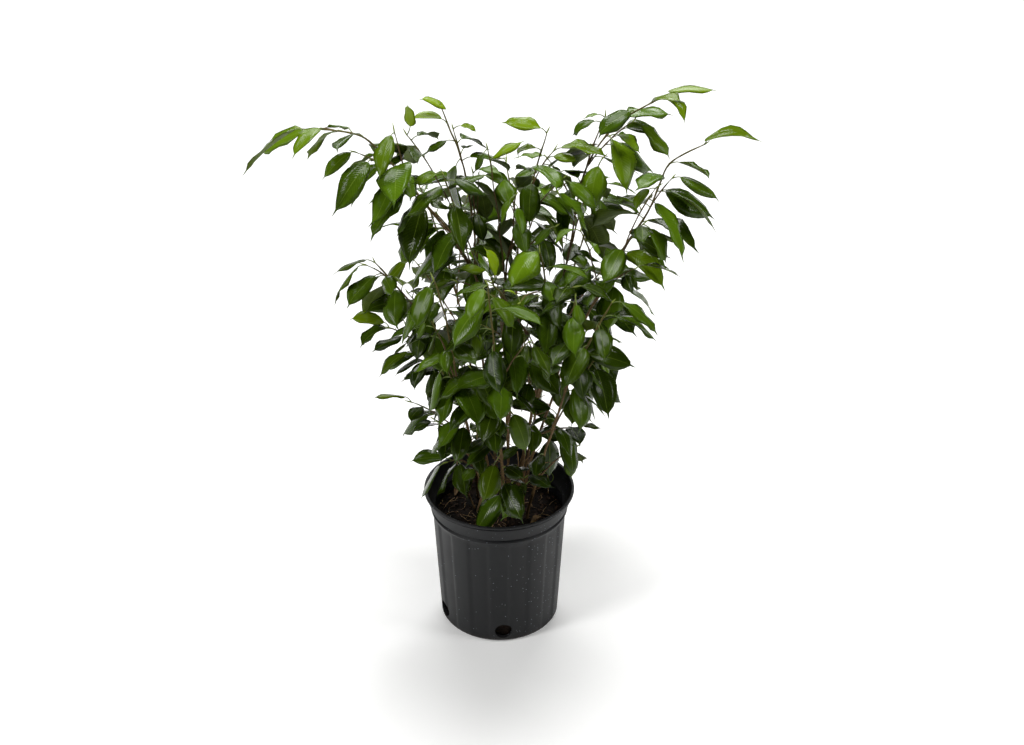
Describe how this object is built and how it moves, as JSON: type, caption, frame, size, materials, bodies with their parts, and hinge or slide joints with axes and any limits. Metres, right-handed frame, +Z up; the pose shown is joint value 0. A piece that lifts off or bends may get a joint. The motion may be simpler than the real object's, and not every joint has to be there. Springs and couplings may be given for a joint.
{
  "type": "potted ficus",
  "caption": "Weeping fig with slender arching stems and glossy pointed leaves, growing in dark potting mix in a round black fluted nursery pot with drain holes.",
  "frame": {"origin": "middle of the pot's underside, on the surface that the pot stands on", "axes": "+Z up, -Y towards the front that the picture shows, +X to the right seen from that front"},
  "size_m": [0.5046, 0.4266, 0.6126],
  "materials": {
    "pot": "satin black moulded plastic",
    "potting_mix": "rough damp peat and bark",
    "leaf": "glossy waxy leaf on brown twigs"
  },
  "bodies": {
    "root": {"pot": "pot", "potting_mix": "potting_mix", "leafy_stem_left_arm": "leaf", "leafy_stem_right_arm": "leaf", "leafy_stem_top_right": "leaf", "leafy_stem_top_left": "leaf", "leafy_stem_left_low": "leaf", "leafy_stem_centre_right": "leaf", "leafy_stem_centre": "leaf", "leafy_stem_front": "leaf", "leafy_stem_front_left": "leaf", "leafy_stem_front_right": "leaf", "leafy_stem_back_left": "leaf", "leafy_stem_back_right": "leaf", "leafy_stem_back": "leaf"}
  },
  "joints": []
}
